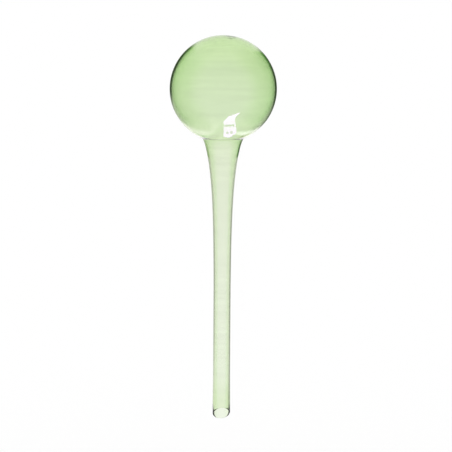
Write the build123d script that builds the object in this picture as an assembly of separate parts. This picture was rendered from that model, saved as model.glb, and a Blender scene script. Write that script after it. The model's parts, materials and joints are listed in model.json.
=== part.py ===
from build123d import *
import math
import os

# Watering globe: a blown glass ball on a drawn glass stem, hollow all the way through.
# Millimetres, +Z up. The origin is on the stem's axis at the soil line.
# The stem's slanted mouth faces -Y.

# Ball
ball_d = 75.0
ball_height = 150.0
ball_wall = 1.15
crown_sag = 0.3

# Closing seal: the drop of glass left inside the crown where the ball was closed
drop_d = 5.0
drop_depth = 1.1
drop_offset = 5.0
drop_blend = 0.4

# Neck: drawn out of the ball, so its extra width dies away down the draw.
# A short flare right under the ball dies away sooner.
neck_r = 14.7
neck_wall = 1.0
draw_length = 27.0
flare = 0.9
flare_length = 2.6
outer_corner = 3.0
inner_corner = 2.0
seal_drop = 3.0

# Tube
tube_r = 6.0
tube_wall = 0.8
tube_top = 10.0

# Mouth: cut at a slant and fire-polished, which thickens the rim
mouth_depth = 81.7
mouth_slant = 42.0
rim_swell = 0.2
rim_shrink = 0.15
rim_length = 20.0
rim_land = 2.0
rim_round = 0.5

# Places down the neck where its curve is set: how many, and how strongly they crowd to the top
draw_steps = 14
draw_crowding = 1.6

# What the sizes above give
ball_r = ball_d / 2
cavity_r = ball_r - ball_wall
cavity_height = ball_height - crown_sag
neck_bore_r = neck_r - neck_wall
bore_r = tube_r - tube_wall
mouth_outer_r = tube_r + rim_swell
mouth_bore_r = bore_r - rim_shrink
mouth_rise = mouth_outer_r * math.tan(math.radians(mouth_slant))
heel_height = mouth_rise - mouth_depth
tip_height = -mouth_rise - mouth_depth
overrun = tube_r
seal_height = ball_height - math.sqrt(ball_r ** 2 - neck_r ** 2) - seal_drop


def draw_curve(top_r, top_height, end_r):
    """The neck's curve, from its wide top down to the parallel tube."""
    height = top_height - tube_top
    last = math.exp(-height / draw_length)
    gain = (top_r - flare - end_r) / (1 - last)
    stations = []
    for step in range(draw_steps + 1):
        down = height * (step / draw_steps) ** draw_crowding
        draw = gain * (math.exp(-down / draw_length) - last)
        radius = end_r + draw + flare * math.exp(-down / flare_length)
        stations.append((radius, top_height - down))
    return Spline(*stations)


def blown_form(form_r, form_height, top_r, end_r, rim_r, corner):
    """A solid of the ball, neck and tube together: once for the outside, once for the hollow."""
    top_height = form_height - math.sqrt(form_r ** 2 - top_r ** 2)
    crown = (0, form_height + form_r)
    foot_height = tip_height - overrun
    rim_foot = heel_height + rim_land
    rim_top = rim_foot + rim_length
    outline = [
        ThreePointArc(crown, (form_r, form_height), (top_r, top_height)),
        draw_curve(top_r, top_height, end_r),
        Polyline((end_r, tube_top), (end_r, rim_top), (rim_r, rim_foot), (rim_r, foot_height)),
        Polyline((rim_r, foot_height), (0, foot_height), crown),
    ]
    form = revolve(Plane.YZ * make_face(outline), axis=Axis.Z)
    return fillet(nearest_ring(form, Vector(0, 0, top_height)), corner)


def nearest_ring(form, place):
    """The closed edge of a solid whose middle is nearest to a place."""
    rings = [edge for edge in form.edges() if edge.is_closed]
    return min(rings, key=lambda ring: (ring.center(CenterOf.MASS) - place).length)


def half_space(plane):
    """A block on the far side of a plane, larger than the globe."""
    reach = 2 * (ball_height + ball_d + mouth_depth)
    return plane * Box(reach, reach, reach, align=(Align.CENTER, Align.CENTER, Align.MIN))


def with_closing_drop(hollow):
    """The hollow with a dent in its crown, which leaves a shallow lens of glass inside the ball."""
    lens_r = (drop_d ** 2 / 4 + drop_depth ** 2) / (2 * drop_depth)
    reach = cavity_r - drop_depth + lens_r
    lean = math.asin(drop_offset / reach)
    centre = Vector(reach * math.sin(lean), 0, cavity_height + reach * math.cos(lean))
    dented = hollow - Pos(centre) * Sphere(lens_r)
    return fillet(nearest_ring(dented, centre), drop_blend)


def make_bulb(outside, hollow):
    """The ball with its collar, down to the seal line."""
    shell = outside - with_closing_drop(hollow)
    return shell - half_space(Plane((0, 0, seal_height), z_dir=(0, 0, -1)))


def make_stem(outside, hollow):
    """The neck and tube below the seal line, with the slanted mouth's edges melted round."""
    shell = outside - hollow
    stem = shell - half_space(Plane((0, 0, seal_height)))
    slant = math.radians(mouth_slant)
    cut = Plane((0, 0, -mouth_depth), z_dir=(0, -math.sin(slant), -math.cos(slant)))
    stem = stem - half_space(cut)
    lip = stem.faces().filter_by(cut).sort_by(Axis.Z)[0]
    return fillet(lip.edges(), rim_round)


outside = blown_form(ball_r, ball_height, neck_r, tube_r, mouth_outer_r, outer_corner)
hollow = blown_form(cavity_r, cavity_height, neck_bore_r, bore_r, mouth_bore_r, inner_corner)
parts = {
    "bulb": make_bulb(outside, hollow),
    "stem": make_stem(outside, hollow),
}

os.makedirs("parts", exist_ok=True)
for name, solid in parts.items():
    export_step(solid, os.path.join("parts", name + ".step"))
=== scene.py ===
import json
import math
import bpy
from mathutils import Matrix, Vector


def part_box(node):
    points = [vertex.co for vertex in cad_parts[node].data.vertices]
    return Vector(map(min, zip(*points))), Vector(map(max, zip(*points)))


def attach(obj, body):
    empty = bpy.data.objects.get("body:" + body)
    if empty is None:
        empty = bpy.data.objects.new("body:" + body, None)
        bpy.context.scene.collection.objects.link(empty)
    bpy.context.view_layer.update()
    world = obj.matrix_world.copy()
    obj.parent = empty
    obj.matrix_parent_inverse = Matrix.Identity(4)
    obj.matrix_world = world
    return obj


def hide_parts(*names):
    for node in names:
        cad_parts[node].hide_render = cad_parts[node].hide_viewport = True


# Watering globe: one blown and drawn piece of clear pale green glass.
# Metres, in the frame of the solids: the stem's axis is Z, and its slanted mouth faces -Y.

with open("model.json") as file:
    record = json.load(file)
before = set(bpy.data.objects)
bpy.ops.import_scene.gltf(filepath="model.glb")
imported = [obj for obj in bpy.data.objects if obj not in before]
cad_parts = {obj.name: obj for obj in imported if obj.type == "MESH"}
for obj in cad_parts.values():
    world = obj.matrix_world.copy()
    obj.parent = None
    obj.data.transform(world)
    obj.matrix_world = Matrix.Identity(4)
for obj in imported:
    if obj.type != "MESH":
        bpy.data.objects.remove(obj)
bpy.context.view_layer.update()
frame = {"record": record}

mm = 0.001
mounts = {mount["name"]: mount for mount in frame["record"]["mounts"]}
bulb_low, bulb_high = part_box("bulb")
stem_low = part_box("stem")[0]

# Ball
ball_r = (bulb_high.x - bulb_low.x) / 2
ball_centre = bulb_high.z - ball_r
ball_wall = 1.15 * mm
crown_sag = 0.3 * mm

# Closing seal: the drop of glass left inside the crown
drop_d = 5.0 * mm
drop_depth = 1.1 * mm
drop_offset = 5.0 * mm
drop_spread = 1.5

# Neck
neck_r = 14.7 * mm
neck_wall = 1.0 * mm
draw_length = 27.0 * mm
flare = 0.9 * mm
flare_length = 2.6 * mm
outer_corner = 3.0 * mm
inner_corner = 2.0 * mm

# Tube
tube_r = mounts["stem"]["dims"]["r_mm"] * mm
bore_r = mounts["mouth"]["dims"]["r_mm"] * mm
tube_top = 10.0 * mm

# Mouth
mouth_depth = 81.7 * mm
mouth_slant = math.radians(42.0)
rim_swell = 0.2 * mm
rim_shrink = 0.15 * mm
rim_length = 20.0 * mm
rim_land = 2.0 * mm
rim_round = 0.5 * mm
mouth_rise = (tube_r + rim_swell) * math.tan(mouth_slant)
mouth_centre = -mouth_depth
heel = mouth_centre + mouth_rise

# The lip's cut is lifted a little, because its melted tip reaches lower than the solid's rounded one
lip_lift = 0.11 * mm

# How finely the glass is turned
turn_steps = 192
arc_step = math.radians(2.5)
crown_steps = 30
crown_reach = 9.0 * mm
corner_steps = 8
corner_step = 0.8 * mm
corner_halvings = 40
neck_steps = 40
neck_crowding = 1.5
lip_segments = 5
merge_distance = 1e-6


def point(radius, height):
    """A point of the glass's outline, in the XZ plane."""
    return Vector((radius, 0, height))


def ball_arc(radius, centre, first, last, count):
    """Points down the ball, by angle from the crown."""
    angles = [first + (last - first) * step / count for step in range(count + 1)]
    return [point(radius * math.sin(angle), centre + radius * math.cos(angle)) for angle in angles]


def neck_point(down, top_r, top_height, end_r):
    """A point of the neck's curve and its outward normal, at a distance down from its top."""
    length = top_height - tube_top
    last = math.exp(-length / draw_length)
    gain = (top_r - flare - end_r) / (1 - last)
    draw = gain * math.exp(-down / draw_length)
    lip = flare * math.exp(-down / flare_length)
    radius = end_r + draw - gain * last + lip
    slope = draw / draw_length + lip / flare_length
    return point(radius, top_height - down), point(1, -slope).normalized()


def rolled_corner(form_r, centre, top_r, end_r, corner_r):
    """How far down the neck a circle rolled into the corner under the ball touches, and its centre."""
    top_height = centre - math.sqrt(form_r ** 2 - top_r ** 2)
    near, far = 0, corner_r
    for halving in range(corner_halvings):
        down = (near + far) / 2
        place, normal = neck_point(down, top_r, top_height, end_r)
        middle = place + normal * corner_r
        if (middle - point(0, centre)).length < form_r + corner_r:
            near = down
        else:
            far = down
    return down, middle


def side_of_glass(form_r, centre, top_r, end_r, rim_r, corner_r, crown_dense):
    """One side of the glass wall, from the crown down past the mouth."""
    top_height = centre - math.sqrt(form_r ** 2 - top_r ** 2)
    touch, middle = rolled_corner(form_r, centre, top_r, end_r, corner_r)
    to_middle = middle - point(0, centre)
    arc_end = to_middle.angle(point(0, 1))
    crown_end = math.asin(crown_reach / form_r)
    crown_count = crown_steps if crown_dense else round(crown_end / arc_step)
    crown = ball_arc(form_r, centre, 0, crown_end, crown_count)
    ball = ball_arc(form_r, centre, crown_end, arc_end, round((arc_end - crown_end) / arc_step))

    neck = []
    for step in range(neck_steps + 1):
        down = touch + (top_height - tube_top - touch) * (step / neck_steps) ** neck_crowding
        neck.append(neck_point(down, top_r, top_height, end_r)[0])

    start = ball[-1] - middle
    sweep = start.angle(neck[0] - middle)
    side = start.cross(neck[0] - middle).normalized()
    count = max(corner_steps, round(sweep * corner_r / corner_step))
    corner = [middle + Matrix.Rotation(sweep * step / count, 3, side) @ start for step in range(1, count)]

    rim_foot = heel + rim_land
    tube = [point(end_r, rim_foot + rim_length), point(rim_r, rim_foot)]
    overrun = [point(rim_r, mouth_centre - 2 * tube_r)]
    return crown[:-1] + ball + corner + neck + tube + overrun


def deselect_everything():
    """Leaves nothing selected, so that the next operator acts on the new piece alone."""
    bpy.ops.object.select_all(action="DESELECT")


def draw_line(places):
    """A line of points drawn out one by one; leaves the new piece in edit mode, all of it selected."""
    deselect_everything()
    bpy.ops.mesh.primitive_plane_add(size=tube_r)
    piece = bpy.context.active_object
    bpy.ops.object.mode_set(mode="EDIT")
    bpy.ops.mesh.select_mode(type="VERT")
    bpy.ops.mesh.merge(type="CENTER")
    bpy.ops.transform.translate(value=places[0])
    for last, place in zip(places, places[1:]):
        bpy.ops.mesh.extrude_vertices_move(TRANSFORM_OT_translate={"value": place - last})
    bpy.ops.mesh.select_all(action="SELECT")
    return piece


def turn_outline(outline):
    """An outline spun round the axis and closed up."""
    piece = draw_line(outline)
    bpy.ops.mesh.spin(steps=turn_steps, angle=math.tau, center=(0, 0, 0), axis=(0, 0, 1))
    bpy.ops.mesh.select_all(action="SELECT")
    bpy.ops.mesh.remove_doubles(threshold=merge_distance)
    bpy.ops.mesh.normals_make_consistent(inside=False)
    bpy.ops.object.mode_set(mode="OBJECT")
    return piece


def select_faces(piece, wanted):
    """Selects the faces that a test picks, and nothing else."""
    bpy.ops.object.mode_set(mode="EDIT")
    bpy.ops.mesh.select_mode(type="FACE")
    bpy.ops.mesh.select_all(action="DESELECT")
    bpy.ops.object.mode_set(mode="OBJECT")
    for face in piece.data.polygons:
        face.select = wanted(face)
    bpy.ops.object.mode_set(mode="EDIT")


def on_plane(face, place, normal):
    """Whether a face lies in a plane."""
    return abs((face.center - place).dot(normal)) < merge_distance


def cut_mouth():
    """The tube cut at a slant, its wall closed again, and the lip's two edges melted round."""
    down = Vector((0, -math.sin(mouth_slant), -math.cos(mouth_slant)))
    place = Vector((0, 0, mouth_centre + lip_lift))
    piece = bpy.context.active_object
    bpy.ops.object.mode_set(mode="EDIT")
    bpy.ops.mesh.select_all(action="SELECT")
    bpy.ops.mesh.bisect(plane_co=place, plane_no=down, clear_outer=True)
    bpy.ops.mesh.bridge_edge_loops()
    bpy.ops.mesh.select_all(action="SELECT")
    bpy.ops.mesh.normals_make_consistent(inside=False)
    bpy.ops.object.mode_set(mode="OBJECT")
    select_faces(piece, lambda face: on_plane(face, place, down))
    bpy.ops.mesh.region_to_loop()
    bpy.ops.object.mode_set(mode="OBJECT")
    melt_lip(piece, place, down)


def melt_lip(piece, place, down):
    """The lip's selected edges rounded to one radius, so more is taken off where the lip is sharper."""
    walls = {}
    for face in piece.data.polygons:
        if not on_plane(face, place, down):
            walls.update({key: face.normal for key in face.edge_keys})
    lip = [edge for edge in piece.data.edges if edge.select]
    reaches = {edge.index: rim_round * math.tan(walls[edge.key].angle(down) / 2) for edge in lip}
    widest = max(reaches.values())
    weights = piece.data.attributes.new("bevel_weight_edge", "FLOAT", "EDGE")
    for index, reach in reaches.items():
        weights.data[index].value = reach / widest
    bpy.ops.object.modifier_add(type="BEVEL")
    melted = piece.modifiers[-1]
    melted.limit_method = "WEIGHT"
    melted.width = widest
    melted.segments = lip_segments
    bpy.ops.object.modifier_apply(modifier=melted.name)
    piece.data.attributes.remove(piece.data.attributes["bevel_weight_edge"])


def push_in_closing_drop():
    """The drop of glass inside the crown, pushed in from the hollow's smooth top."""
    piece = bpy.context.active_object
    inner_r = ball_r - ball_wall
    inner_centre = ball_centre - crown_sag
    lean = math.asin(drop_offset / inner_r)
    out = Vector((math.sin(lean), 0, math.cos(lean)))
    place = Vector((0, 0, inner_centre)) + out * inner_r
    bpy.ops.object.mode_set(mode="EDIT")
    bpy.ops.mesh.select_mode(type="VERT")
    bpy.ops.mesh.select_all(action="DESELECT")
    bpy.ops.object.mode_set(mode="OBJECT")
    nearest = min(piece.data.vertices, key=lambda vertex: (vertex.co - place).length)
    nearest.select = True
    bpy.ops.object.mode_set(mode="EDIT")
    bpy.ops.transform.translate(
        value=-out * drop_depth,
        use_proportional_edit=True,
        use_proportional_connected=True,
        proportional_edit_falloff="SMOOTH",
        proportional_size=drop_d / 2 * drop_spread,
    )
    bpy.ops.object.mode_set(mode="OBJECT")


def make_globe():
    """The whole glass wall: outside from crown to mouth, then the hollow's side back up."""
    outside = side_of_glass(
        ball_r, ball_centre, neck_r, tube_r, tube_r + rim_swell, outer_corner, crown_dense=False
    )
    inside = side_of_glass(
        ball_r - ball_wall, ball_centre - crown_sag, neck_r - neck_wall,
        bore_r, bore_r - rim_shrink, inner_corner, crown_dense=True
    )
    piece = turn_outline(outside + inside[::-1])
    cut_mouth()
    push_in_closing_drop()
    bpy.ops.object.shade_smooth()
    piece.name = "glass_globe"
    piece.data.name = "glass_globe"
    return piece


def ramp(tree, value, stops):
    """A tone read off by value, from stops of (value, tone)."""
    low, high = stops[0][0], stops[-1][0]
    scaled = tree.nodes.new("ShaderNodeMapRange")
    scaled.inputs["From Min"].default_value = low
    scaled.inputs["From Max"].default_value = high
    tree.links.new(value, scaled.inputs["Value"])
    band = tree.nodes.new("ShaderNodeValToRGB")
    tree.links.new(scaled.outputs["Result"], band.inputs["Fac"])
    elements = band.color_ramp.elements
    elements.remove(elements[1])
    for number, (stop, tone) in enumerate(stops):
        share = (stop - low) / (high - low)
        element = elements[0] if number == 0 else elements.new(share)
        element.position = share
        element.color = (*tone, 1) if isinstance(tone, tuple) else (tone, tone, tone, 1)
    return band.outputs["Color"]


def calculated(tree, operation, *values):
    """The result of one sum, whose values are numbers or other nodes' outputs."""
    node = tree.nodes.new("ShaderNodeMath")
    node.operation = operation
    for socket, value in zip(node.inputs, values):
        if isinstance(value, (int, float)):
            socket.default_value = value
        else:
            tree.links.new(value, socket)
    return node.outputs["Value"]


# A Mix node's sockets for colours: its share, its two colours and its result
mix_inputs = (0, 6, 7)
mix_output = 2


def mixed(tree, share, first, second):
    """Two colours mixed by a share."""
    node = tree.nodes.new("ShaderNodeMix")
    node.data_type = "RGBA"
    for number, value in zip(mix_inputs, (share, first, second)):
        if isinstance(value, tuple):
            node.inputs[number].default_value = value
        else:
            tree.links.new(value, node.inputs[number])
    return node.outputs[mix_output]


def millimetres(tree, axis):
    """The object's own X, Y or Z in millimetres."""
    place = tree.nodes.new("ShaderNodeSeparateXYZ")
    tree.links.new(tree.nodes.new("ShaderNodeTexCoord").outputs["Object"], place.inputs["Vector"])
    return calculated(tree, "DIVIDE", place.outputs[axis], mm)


# Light that has passed fewer walls than this is mirrored on the near side of the glass
near_passes = 3


def mirrored(tree):
    """One for light that the glass mirrors, nothing for light that goes straight on."""
    path = tree.nodes.new("ShaderNodeLightPath")
    return calculated(tree, "GREATER_THAN", path.outputs["Glossy Depth"], 0)


def on_near_side(tree):
    """One on the near side of the glass, nothing on its far side."""
    path = tree.nodes.new("ShaderNodeLightPath")
    return calculated(tree, "LESS_THAN", path.outputs["Transmission Depth"], near_passes)


def show_by_share(tree, share, first, second):
    """Makes the surface of the first shader, and of the second one by its share."""
    both = tree.nodes.new("ShaderNodeMixShader")
    tree.links.new(share, both.inputs["Fac"])
    tree.links.new(first, both.inputs[1])
    tree.links.new(second, both.inputs[2])
    tree.links.new(both.outputs["Shader"], tree.nodes["Material Output"].inputs["Surface"])


# Glass: what a millimetre of it keeps back of red, green and blue
glass_absorbs = (0.107, 0.044, 0.205)
glass_ior = 1.5

# Its tint at the surface, by height in mm: palest at the mouth, deepest in the ball, as gathered
glass_tint = (
    (-80, (1, 1, 1)), (-20, (0.99, 0.985, 0.99)), (60, (0.972, 0.968, 0.968)), (108, (0.968, 0.967, 0.963)),
    (122, (0.921, 0.951, 0.9)), (150, (0.915, 0.947, 0.893)), (170, (0.911, 0.945, 0.887)),
    (188, (0.913, 0.947, 0.89)),
)

# Streaks left by turning it in the flame: their length and height in mm, and their tone by noise
streak_size = (50, 50, 4)
streak_detail = 2.0
streak_tone = ((0.35, 0.985), (0.65, 1.02))


def glass_material():
    """Clear pale green glass, a little deeper in the ball than in the drawn stem."""
    material = bpy.data.materials.new("pale_green_glass")
    material.use_nodes = True
    tree = material.node_tree
    glass = tree.nodes["Principled BSDF"]
    glass.inputs["Roughness"].default_value = 0.0
    glass.inputs["IOR"].default_value = glass_ior
    glass.inputs["Transmission Weight"].default_value = 1.0

    stretched = tree.nodes.new("ShaderNodeMapping")
    stretched.inputs["Scale"].default_value = [1 / (size * mm) for size in streak_size]
    where = tree.nodes.new("ShaderNodeTexCoord")
    tree.links.new(where.outputs["Object"], stretched.inputs["Vector"])
    streaks = tree.nodes.new("ShaderNodeTexNoise")
    streaks.inputs["Scale"].default_value = 1.0
    streaks.inputs["Detail"].default_value = streak_detail
    tree.links.new(stretched.outputs["Vector"], streaks.inputs["Vector"])
    streaked = tree.nodes.new("ShaderNodeVectorMath")
    streaked.operation = "MULTIPLY"
    tree.links.new(ramp(tree, millimetres(tree, "Z"), glass_tint), streaked.inputs[0])
    tree.links.new(ramp(tree, streaks.outputs["Fac"], streak_tone), streaked.inputs[1])
    tree.links.new(streaked.outputs["Vector"], glass.inputs["Base Color"])

    strongest = max(glass_absorbs)
    body = tree.nodes.new("ShaderNodeVolumeAbsorption")
    body.inputs["Color"].default_value = (*(1 - share / strongest for share in glass_absorbs), 1)
    body.inputs["Density"].default_value = strongest / mm
    tree.links.new(body.outputs["Volume"], tree.nodes["Material Output"].inputs["Volume"])
    return material


# Camera, from the photograph: a square picture, y down
picture_px = 452
ball_px = (223.3, 88.8)
ball_r_px = 53.6
mouth_px = (221.3, 413.1)
camera_azimuth = math.radians(-6)
camera_elevation = math.radians(6)
studio_tilt = math.radians(4)
camera_distance = 2.0


def axes_from(first, second):
    """Axes along a first direction, and towards a second one square to it."""
    along = first.normalized()
    across = (second - along * second.dot(along)).normalized()
    return Matrix((along, across, along.cross(across))).transposed()


def add_camera():
    """A camera at the photograph's angle, turned until ball and mouth fall on their pixels."""
    focal_px = ball_r_px / math.tan(math.asin(ball_r / camera_distance))
    back = Vector((
        math.sin(camera_azimuth) * math.cos(camera_elevation),
        -math.cos(camera_azimuth) * math.cos(camera_elevation),
        math.sin(camera_elevation),
    ))
    ball = Vector((0, 0, ball_centre))
    mouth = Vector((0, 0, mouth_centre))
    place = ball + back * camera_distance
    rays = [
        Vector((x - picture_px / 2, picture_px / 2 - y, -focal_px)) for x, y in (ball_px, mouth_px)
    ]
    turn = axes_from(ball - place, mouth - place) @ axes_from(*rays).transposed()
    deselect_everything()
    bpy.ops.object.camera_add(location=place)
    camera = bpy.context.active_object
    camera.rotation_euler = turn.to_euler()
    camera.data.lens = camera.data.sensor_width * focal_px / picture_px
    bpy.context.scene.camera = camera


# Studio, as the glass mirrors it. Directions are unit vectors: right of the view, behind the globe, up.
# A white paper sweep runs from below the globe to behind it and overhead, between darker sides.
# Its half widths, and the tones of its foot, go by how far up a direction points.
sweep_left = (
    (-1.0, 0.165), (-0.97, 0.215), (-0.87, 0.355), (-0.71, 0.405), (-0.5, 0.345), (-0.35, 0.23),
    (-0.21, 0.06), (-0.12, 0.02), (0.03, 0.09), (0.5, 0.4), (1.0, 0.73),
)
sweep_right = (
    (-1.0, 0.13), (-0.97, 0.185), (-0.87, 0.325), (-0.71, 0.36), (-0.5, 0.29), (-0.35, 0.14),
    (-0.21, 0.03), (-0.08, 0.03), (0.03, 0.14), (0.24, 0.33), (0.5, 0.45), (1.0, 0.76),
)
sweep_edge = 0.08
sweep_tone = (0.95, 0.95, 0.95, 1)
foot_left = (
    (-1.0, (1.5, 1.35, 1.55)), (-0.85, (1.5, 1.35, 1.55)), (-0.65, (1.25, 1.15, 1.25)),
    (-0.45, (1.25, 1.15, 1.25)), (-0.3, (0.95, 0.95, 0.95)), (1.0, (0.95, 0.95, 0.95)),
)
foot_right = (
    (-1.0, (2.0, 1.9, 2.2)), (-0.85, (2.0, 1.9, 2.2)), (-0.65, (1.5, 1.4, 1.6)),
    (-0.45, (1.45, 1.35, 1.5)), (-0.3, (0.95, 0.95, 0.95)), (1.0, (0.95, 0.95, 0.95)),
)
gap_tone = ((-0.1, (0.75, 0.9, 0.7)), (0.05, (0.55, 0.58, 0.4)))

# Beside the sweep: green walls, a lower green table on the left, and black flags close behind the globe
wall_left = (0.32, 0.62, 0.2, 1)
wall_right = (0.16, 0.4, 0.1, 1)
table_left = (0.27, 0.47, 0.16, 1)
table_top = ((-0.12, 0.0), (0.1, 1.0))
dark = (0.06, 0.09, 0.05, 1)
by_left_flag = (0.62, 0.68, 0.56, 1)
by_right_flag = (0.5, 0.55, 0.45, 1)
flag_across = ((-0.64, 0.0), (-0.5, 1.0), (0.5, 1.0), (0.64, 0.0))
left_flag_up = ((-0.3, 0.0), (-0.18, 1.0), (0.1, 1.0), (0.3, 0.4), (0.36, 0.0))
right_flag_up = ((-0.5, 0.0), (-0.22, 1.0), (-0.02, 1.0), (0.14, 0.35), (0.36, 0.0))

# Overhead and in front, both pale: where each comes in, and its tones across or up
overhead = ((0.35, 0.0), (0.7, 1.0))
overhead_tone = (
    (-1, (0.4, 0.8, 0.3)), (-0.75, (0.6, 0.85, 0.55)), (-0.5, (0.95, 1, 0.95)), (-0.2, (0.95, 0.95, 0.95)),
    (0.3, (0.95, 0.95, 0.95)), (0.55, (0.65, 0.8, 0.55)), (0.75, (0.5, 0.72, 0.38)), (1, (0.4, 0.7, 0.3)),
)
front = ((-0.6, 1.0), (-0.1, 0.0))
front_tone = ((-1, (0.8, 0.7, 0.95)), (0.5, (0.8, 0.7, 0.95)), (0.9, (0.6, 0.55, 0.85)))

# The paper sweep's foot has a gap behind the globe, which widens away from the camera.
# Each side of it is a half plane: two factors and a limit.
gap_sides = (-1, 0.225, -0.165)
gap_start = (0, 1, -0.3)
gap_end = (-0.985, 0.174, -0.9)
gap_edge = 0.03
just_below = -0.01


def half_plane(tree, x, y, by_x, by_y, limit):
    """One where by_x * x + by_y * y is past its limit, nothing elsewhere, soft at the edge."""
    across = calculated(tree, "MULTIPLY", x, by_x)
    along = calculated(tree, "MULTIPLY_ADD", y, by_y, across)
    return ramp(tree, calculated(tree, "SUBTRACT", along, limit), ((-gap_edge, 0), (gap_edge, 1)))


def foot_gap(tree, right, behind, up):
    """The gap in the sweep's foot, by where a downward direction meets a level plane one unit below."""
    depth = calculated(tree, "ABSOLUTE", calculated(tree, "MINIMUM", up, just_below))
    aside = calculated(tree, "ABSOLUTE", calculated(tree, "DIVIDE", right, depth))
    away = calculated(tree, "DIVIDE", behind, depth)
    gap = half_plane(tree, aside, away, *gap_sides)
    gap = calculated(tree, "MULTIPLY", gap, half_plane(tree, aside, away, *gap_start))
    gap = calculated(tree, "MULTIPLY", gap, half_plane(tree, behind, up, *gap_end))
    return calculated(tree, "MULTIPLY", gap, calculated(tree, "LESS_THAN", up, 0))


def studio_directions(tree):
    """How far right of the view, behind the globe and up a direction of the world points."""
    turned = tree.nodes.new("ShaderNodeVectorRotate")
    turned.rotation_type = "Z_AXIS"
    turned.inputs["Angle"].default_value = -camera_azimuth
    tree.links.new(tree.nodes.new("ShaderNodeTexCoord").outputs["Generated"], turned.inputs["Vector"])
    tilted = tree.nodes.new("ShaderNodeVectorRotate")
    tilted.rotation_type = "X_AXIS"
    tilted.inputs["Angle"].default_value = -studio_tilt
    tree.links.new(turned.outputs["Vector"], tilted.inputs["Vector"])
    axes = tree.nodes.new("ShaderNodeSeparateXYZ")
    tree.links.new(tilted.outputs["Vector"], axes.inputs["Vector"])
    return axes.outputs


def studio_sides(tree, right, up, on_right):
    """The walls and the table beside the paper sweep, with the flags in front of them."""
    near_sweep = ramp(tree, right, flag_across)
    by_flag = calculated(tree, "MULTIPLY", near_sweep, calculated(tree, "LESS_THAN", up, 0))
    left_side = mixed(tree, ramp(tree, up, table_top), table_left, wall_left)
    left_side = mixed(tree, by_flag, left_side, by_left_flag)
    right_side = mixed(tree, by_flag, wall_right, by_right_flag)
    flag_up = mixed(tree, on_right, ramp(tree, up, left_flag_up), ramp(tree, up, right_flag_up))
    flags = calculated(tree, "MULTIPLY", near_sweep, flag_up)
    return mixed(tree, flags, mixed(tree, on_right, left_side, right_side), dark)


def studio_sweep(tree, right, behind, up, on_right):
    """The paper sweep, which the near side of the glass mirrors with its brighter foot and the gap in it."""
    lit_foot = mixed(tree, on_right, ramp(tree, up, foot_left), ramp(tree, up, foot_right))
    foot = mixed(tree, foot_gap(tree, right, behind, up), lit_foot, ramp(tree, right, gap_tone))
    return mixed(tree, on_near_side(tree), sweep_tone, foot)


def add_studio():
    """A white world; only what the glass mirrors is a paper sweep between darker sides."""
    world = bpy.data.worlds.new("studio")
    bpy.context.scene.world = world
    world.use_nodes = True
    tree = world.node_tree
    right, behind, up = studio_directions(tree)
    on_right = calculated(tree, "GREATER_THAN", right, 0)
    half_width = mixed(tree, on_right, ramp(tree, up, sweep_left), ramp(tree, up, sweep_right))
    past = calculated(tree, "SUBTRACT", calculated(tree, "ABSOLUTE", right), half_width)
    edge = ramp(tree, past, ((0, 0), (sweep_edge, 1)))
    sweep = studio_sweep(tree, right, behind, up, on_right)
    room = mixed(tree, edge, sweep, studio_sides(tree, right, up, on_right))
    room = mixed(tree, ramp(tree, up, overhead), room, ramp(tree, right, overhead_tone))
    room = mixed(tree, ramp(tree, behind, front), room, ramp(tree, up, front_tone))
    light = tree.nodes["Background"]
    tree.links.new(mixed(tree, mirrored(tree), (1, 1, 1, 1), room), light.inputs["Color"])


# Lamp: a small card held close under the ball's front, where the ball mirrors it and the neck doesn't.
# Its outline, and the Y of its strengths, are in mm from the stem's axis.
lamp_height = 113.0 * mm
lamp_left = ((-1.5, -18.2), (-3.3, -38.2))
lamp_top = ((-1.3, -43.2), (2.0, -46.8), (5.9, -49.8), (11.0, -51.8), (18.0, -53.0), (25.3, -53.2))
lamp_right = ((16.6, -48.2), (12.4, -43.5), (11.2, -38.0), (10.6, -28.0), (9.4, -20.0))
lamp_foot = ((5.9, -18.0), (4.0, -16.2), (0.7, -16.2))
lamp_tone = (0.71, 0.41, 1.0)
lamp_strength = ((-52.0, 9.8), (-17.0, 4.6))

# Bars across it: the X and Y of the middle, the reach along X and Y, and the share of light left.
# The edge is soft between two squares of the distance, counted in reaches.
lamp_bars = (
    (3.0, -32.3, 6.0, 1.6, 0.0), (8.3, -31.6, 0.9, 2.4, 0.1),
    (1.6, -22.4, 1.3, 2.2, 0.35), (5.4, -22.6, 1.4, 2.2, 0.25),
)
bar_inside, bar_outside = 0.6, 1.2


def mirrored_only(tree, tone, strength):
    """Light seen only where the near side of the glass mirrors it; clear to everything else."""
    tree.nodes.remove(tree.nodes["Principled BSDF"])
    light = tree.nodes.new("ShaderNodeEmission")
    light.inputs["Color"].default_value = (*tone, 1)
    tree.links.new(strength, light.inputs["Strength"])
    clear = tree.nodes.new("ShaderNodeBsdfTransparent")
    seen = calculated(tree, "MULTIPLY", mirrored(tree), on_near_side(tree))
    show_by_share(tree, seen, clear.outputs["BSDF"], light.outputs["Emission"])


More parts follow.
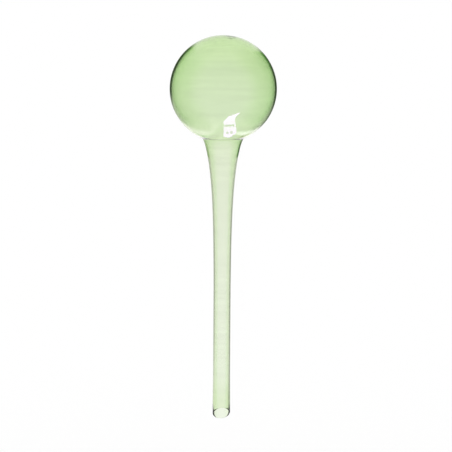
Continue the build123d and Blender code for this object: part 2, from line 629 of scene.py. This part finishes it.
def add_lamp():
    """The lamp with its bars, seen only where glass mirrors it from the front."""
    outline = lamp_left + lamp_top + lamp_right + lamp_foot
    lamp = draw_line([Vector((x * mm, y * mm, lamp_height)) for x, y in outline])
    bpy.ops.mesh.edge_face_add()
    bpy.ops.object.mode_set(mode="OBJECT")
    lamp.name = "lamp"
    material = bpy.data.materials.new("lamp_card")
    material.use_nodes = True
    tree = material.node_tree
    across, along = millimetres(tree, "X"), millimetres(tree, "Y")
    strength = ramp(tree, along, lamp_strength)
    for bar_x, bar_y, reach_x, reach_y, depth in lamp_bars:
        off_x = calculated(tree, "DIVIDE", calculated(tree, "SUBTRACT", across, bar_x), reach_x)
        off_y = calculated(tree, "DIVIDE", calculated(tree, "SUBTRACT", along, bar_y), reach_y)
        off = calculated(tree, "MULTIPLY_ADD", off_y, off_y, calculated(tree, "MULTIPLY", off_x, off_x))
        shade = ramp(tree, off, ((0, depth), (bar_inside, depth), (bar_outside, 1)))
        strength = calculated(tree, "MULTIPLY", strength, shade)
    mirrored_only(tree, lamp_tone, strength)
    lamp.data.materials.append(material)


# Fill cards: one each side of the stem, which keep its edges pale, with their tones by height
fill_apart = 15.0 * mm
fill_near, fill_far = -3.0 * mm, 170.0 * mm
fill_foot, fill_top = -92.0 * mm, 100.0 * mm
fill_tone = (1, 1, 1)
fill_left = ((-92, 0.95), (-55, 0.75), (-30, 0.58), (20, 0.48), (90, 0.6))
fill_right = ((-92, 0.46), (0, 0.38), (50, 0.42), (90, 0.6))


def add_fill_card(name, side, tones):
    """A fill card beside the stem, upright and in line with the view."""
    deselect_everything()
    bpy.ops.mesh.primitive_plane_add(size=1)
    card = bpy.context.active_object
    away = Vector((-math.sin(camera_azimuth), math.cos(camera_azimuth), 0))
    aside = Vector((math.cos(camera_azimuth), math.sin(camera_azimuth), 0))
    middle = Vector((0, 0, (fill_foot + fill_top) / 2))
    card.location = middle + aside * side * fill_apart + away * (fill_near + fill_far) / 2
    card.rotation_euler = (math.pi / 2, 0, camera_azimuth + math.pi / 2)
    card.scale = (fill_far - fill_near, fill_top - fill_foot, 1)
    bpy.ops.object.transform_apply(location=True, rotation=True, scale=True)
    card.name = name
    material = bpy.data.materials.new(name)
    material.use_nodes = True
    tree = material.node_tree
    mirrored_only(tree, fill_tone, ramp(tree, millimetres(tree, "Z"), tones))
    card.data.materials.append(material)


# Floor
floor_drop = 0.06
floor_size = 40.0
floor_tone = 0.8


def add_floor():
    """A plain white floor below the globe. The glass mirrors the studio, not the floor."""
    deselect_everything()
    bpy.ops.mesh.primitive_plane_add(size=floor_size, location=(0, 0, stem_low.z - floor_drop))
    floor = bpy.context.active_object
    floor.name = "floor"
    material = bpy.data.materials.new("white_paper")
    material.use_nodes = True
    tree = material.node_tree
    paper = tree.nodes["Principled BSDF"]
    paper.inputs["Base Color"].default_value = (floor_tone, floor_tone, floor_tone, 1)
    paper.inputs["Roughness"].default_value = 1.0
    paper.inputs["Specular IOR Level"].default_value = 0.0
    paper.inputs["Emission Color"].default_value = (1, 1, 1, 1)
    paper.inputs["Emission Strength"].default_value = 1 - floor_tone
    clear = tree.nodes.new("ShaderNodeBsdfTransparent")
    face = tree.nodes.new("ShaderNodeNewGeometry")
    unseen = calculated(tree, "MAXIMUM", mirrored(tree), face.outputs["Backfacing"])
    show_by_share(tree, unseen, paper.outputs["BSDF"], clear.outputs["BSDF"])
    floor.data.materials.append(material)


globe = make_globe()
globe.data.materials.append(glass_material())
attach(globe, "root")
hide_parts("bulb", "stem")

add_camera()
add_studio()
add_lamp()
add_fill_card("fill_left", -1, fill_left)
add_fill_card("fill_right", 1, fill_right)
add_floor()
bpy.context.scene.view_settings.view_transform = "Standard"
